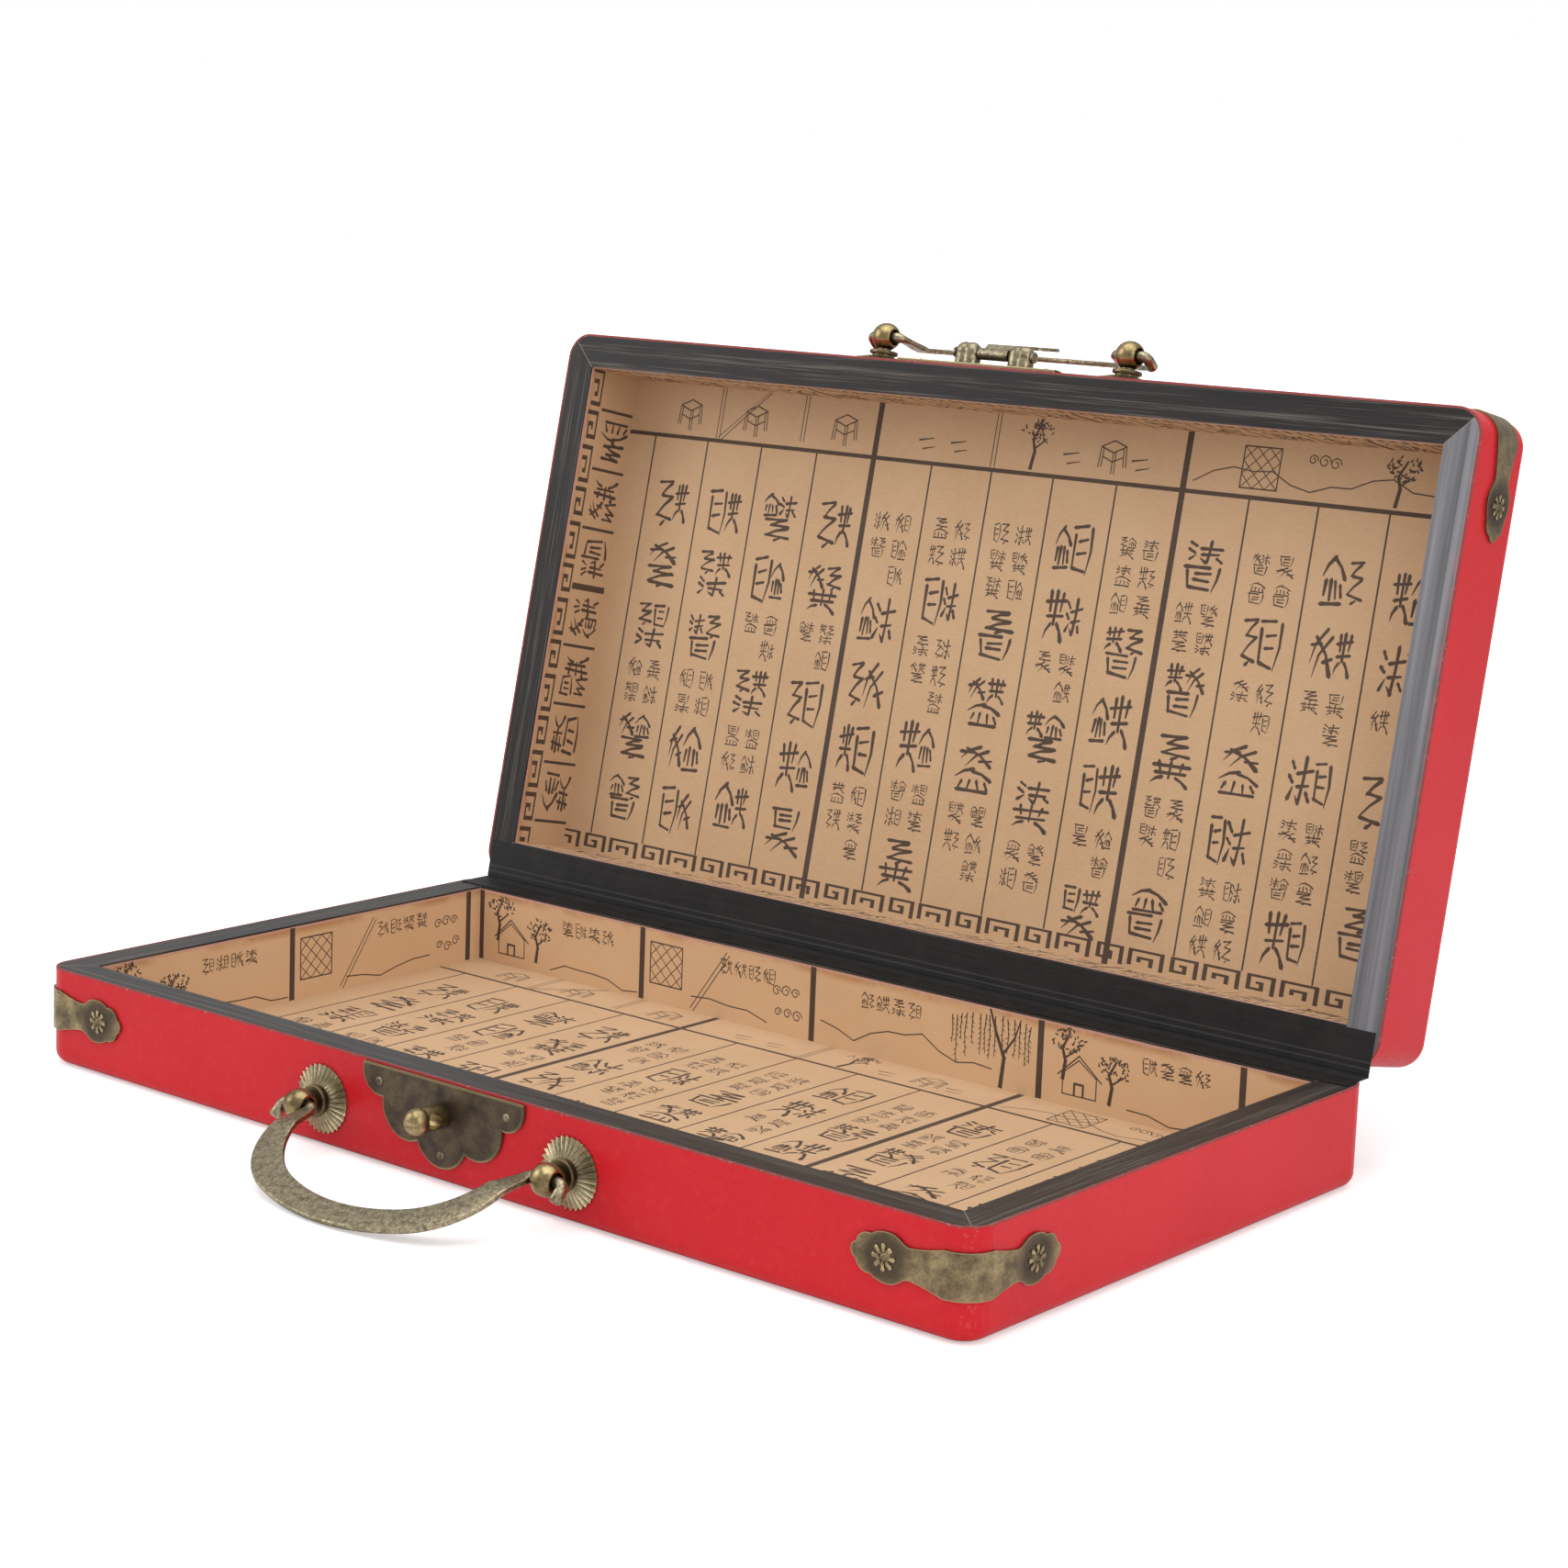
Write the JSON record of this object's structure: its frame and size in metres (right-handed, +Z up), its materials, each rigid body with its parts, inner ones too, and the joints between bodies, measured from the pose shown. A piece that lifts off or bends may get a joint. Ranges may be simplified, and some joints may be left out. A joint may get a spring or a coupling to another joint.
{
  "type": "mahjong case",
  "caption": "Shallow two-tray case with printed paper lining, cloth hinge, corner straps, bail handles and a hasp lock, shown open.",
  "frame": {"origin": "middle of the base tray's underside, on the surface that the case stands on", "axes": "+X along the case to the right, +Y from the lock towards the hinge, +Z up"},
  "size_m": [0.3832, 0.3639, 0.248],
  "materials": {
    "painted_board": "black paint, worn through to the grain on the rims",
    "red_leather": "red leather cloth, semi-gloss, rubbed at corners",
    "printed_paper": "matt buff paper printed with dark brown columns, rules and borders",
    "black_tape": "black glazed cloth tape",
    "antique_brass": "stamped brass with a dark patina, bright on worn edges",
    "worn_brass": "drawn brass wire, rubbed bright"
  },
  "bodies": {
    "base": {"base_front_board": "painted_board", "base_right_board": "painted_board", "base_back_board": "painted_board", "base_left_board": "painted_board", "base_panel": "painted_board", "base_side_leather": "red_leather", "base_panel_leather": "red_leather", "base_floor_paper": "printed_paper", "base_wall_paper": "printed_paper", "base_hinge_tape": "black_tape", "base_hinge_spine": "red_leather", "base_lock_plate": "antique_brass", "base_lock_nails": "worn_brass", "base_strap_nails": "worn_brass", "base_strap_left": "antique_brass", "base_rosette_left": "antique_brass", "base_collar_left": "antique_brass", "base_eye_left": "antique_brass", "base_strap_right": "antique_brass", "base_rosette_right": "antique_brass", "base_collar_right": "antique_brass", "base_eye_right": "antique_brass", "lock_stud": "antique_brass"},
    "base_handle": {"base_bail": "antique_brass"},
    "lid": {"lid_front_board": "painted_board", "lid_right_board": "painted_board", "lid_back_board": "painted_board", "lid_left_board": "painted_board", "lid_panel": "painted_board", "lid_side_leather": "red_leather", "lid_panel_leather": "red_leather", "lid_floor_paper": "printed_paper", "lid_wall_paper": "printed_paper", "lid_hinge_tape": "black_tape", "lid_hinge_spine": "red_leather", "lid_lock_plate": "antique_brass", "lid_lock_nails": "worn_brass", "lid_strap_nails": "worn_brass", "lid_strap_left": "antique_brass", "lid_rosette_left": "antique_brass", "lid_collar_left": "antique_brass", "lid_eye_left": "antique_brass", "lid_strap_right": "antique_brass", "lid_rosette_right": "antique_brass", "lid_collar_right": "antique_brass", "lid_eye_right": "antique_brass", "hasp_lug_left": "antique_brass", "hasp_lug_right": "antique_brass", "hasp_pin": "worn_brass"},
    "lid_handle": {"lid_bail": "antique_brass"},
    "hasp_tongue": {"hasp": "antique_brass"}
  },
  "joints": [
    {"name": "lid_hinge", "type": "hinge", "parent": "base", "child": "lid", "pos_m": [0, 0.105, 0.033], "axis": [1, 0, 0], "range_deg": [0, 101.5]},
    {"name": "base_handle_swing", "type": "hinge", "parent": "base", "child": "base_handle", "pos_m": [-0.0035, -0.1128, 0.0157], "axis": [-1, 0, 0], "range_deg": [-64, 42.7]},
    {"name": "lid_handle_swing", "type": "hinge", "parent": "lid", "child": "lid_handle", "pos_m": [-0.0035, 0.16537, 0.24298], "axis": [1, 0, 0], "range_deg": [0, 100]},
    {"name": "hasp_swing", "type": "hinge", "parent": "lid", "child": "hasp_tongue", "pos_m": [-0.0035, 0.15987, 0.24002], "axis": [1, 0, 0], "range_deg": [0, 172]}
  ]
}
